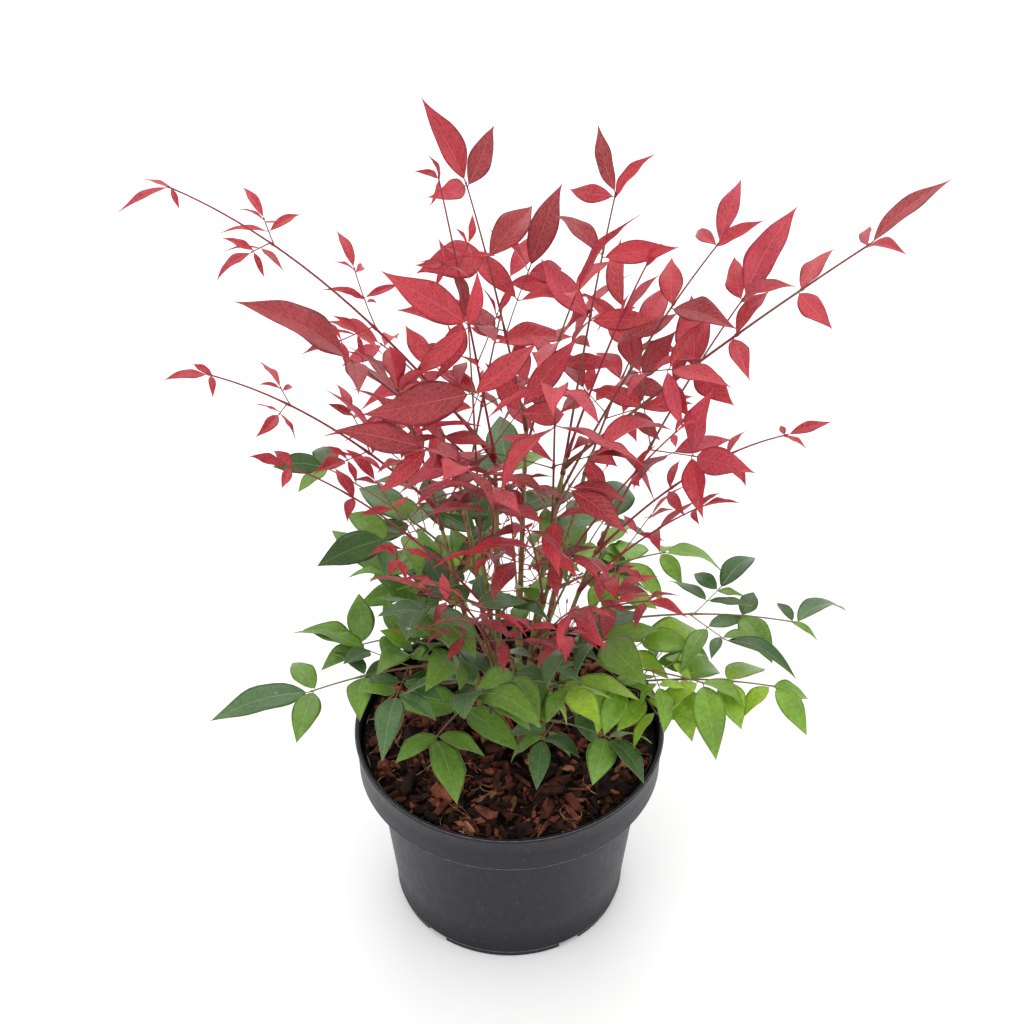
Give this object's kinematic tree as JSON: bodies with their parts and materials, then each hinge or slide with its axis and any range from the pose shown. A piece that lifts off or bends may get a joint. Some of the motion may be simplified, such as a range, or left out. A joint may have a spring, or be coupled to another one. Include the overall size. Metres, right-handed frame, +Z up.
{
  "type": "heavenly bamboo shrub in a nursery pot",
  "caption": "Potted shrub: slender canes carry divided leaves, crimson above and green below, in a round dark plastic pot topped with bark mulch.",
  "frame": {"origin": "on the floor, at the middle of the pot's flat underside", "axes": "+Z up along the pot's axis; -Y towards the plant's front, +X to its right"},
  "size_m": [0.4258, 0.2679, 0.5386],
  "materials": {
    "pot_plastic": "matt dark blue-grey moulded plastic, lightly scuffed",
    "potting_soil": "moist dark peat with fine roots",
    "bark_chips": "rough red-brown bark chips",
    "cane_bark": "satin olive-brown stem bark with nodes",
    "leaf_crimson": "satin crimson leaf with a paler midrib",
    "leaf_young_red": "satin bright red young leaf",
    "leaf_maroon": "satin dusky maroon leaf",
    "leaf_green": "satin mid-green leaf with a pale margin",
    "leaf_lime": "satin lime-green leaf"
  },
  "bodies": {
    "root": {"pot": "pot_plastic", "root_ball": "potting_soil", "bark_mulch": "bark_chips", "cane_main": "cane_bark", "cane_back": "cane_bark", "cane_centre_right": "cane_bark", "cane_front": "cane_bark", "cane_front_right": "cane_bark", "cane_left": "cane_bark", "cane_back_left": "cane_bark", "cane_back_right": "cane_bark", "cane_right": "cane_bark", "red_left_high": "leaf_young_red", "red_left_middle": "leaf_young_red", "red_left_low": "leaf_young_red", "red_top_tall": "leaf_crimson", "red_top_young": "leaf_young_red", "red_top_centre": "leaf_crimson", "red_top_bud": "leaf_young_red", "red_top_right": "leaf_crimson", "red_right_far": "leaf_crimson", "red_right_middle": "leaf_young_red", "red_right_trio": "leaf_young_red", "red_right_low": "leaf_young_red", "red_left_broad": "leaf_crimson", "red_centre_left": "leaf_crimson", "red_centre_back": "leaf_crimson", "red_front_star": "leaf_crimson", "red_front_low_left": "leaf_young_red", "red_front_low_centre": "leaf_crimson", "red_front_low_right": "leaf_crimson", "red_front_right_star": "leaf_crimson", "dusky_right_broad": "leaf_maroon", "red_centre_bright": "leaf_crimson", "red_centre_low": "leaf_maroon", "red_left_cluster": "leaf_crimson", "dusky_right_upper": "leaf_crimson", "red_heart": "leaf_maroon", "green_left_far": "leaf_green", "green_left_upper": "leaf_green", "green_left_back": "leaf_green", "green_left_lime": "leaf_lime", "green_front_left": "leaf_green", "green_front": "leaf_green", "green_front_dark": "leaf_green", "green_centre_left": "leaf_green", "green_centre_right": "leaf_green", "green_centre_low": "leaf_green", "lime_front_right": "leaf_lime", "green_front_right": "leaf_green", "lime_right": "leaf_lime", "green_right_far": "leaf_green", "green_right_upper": "leaf_green", "green_right_back": "leaf_green", "red_back_1": "leaf_crimson", "red_back_2": "leaf_crimson", "red_back_3": "leaf_crimson", "green_back_1": "leaf_green", "green_back_2": "leaf_green", "green_back_3": "leaf_green"}
  },
  "joints": []
}
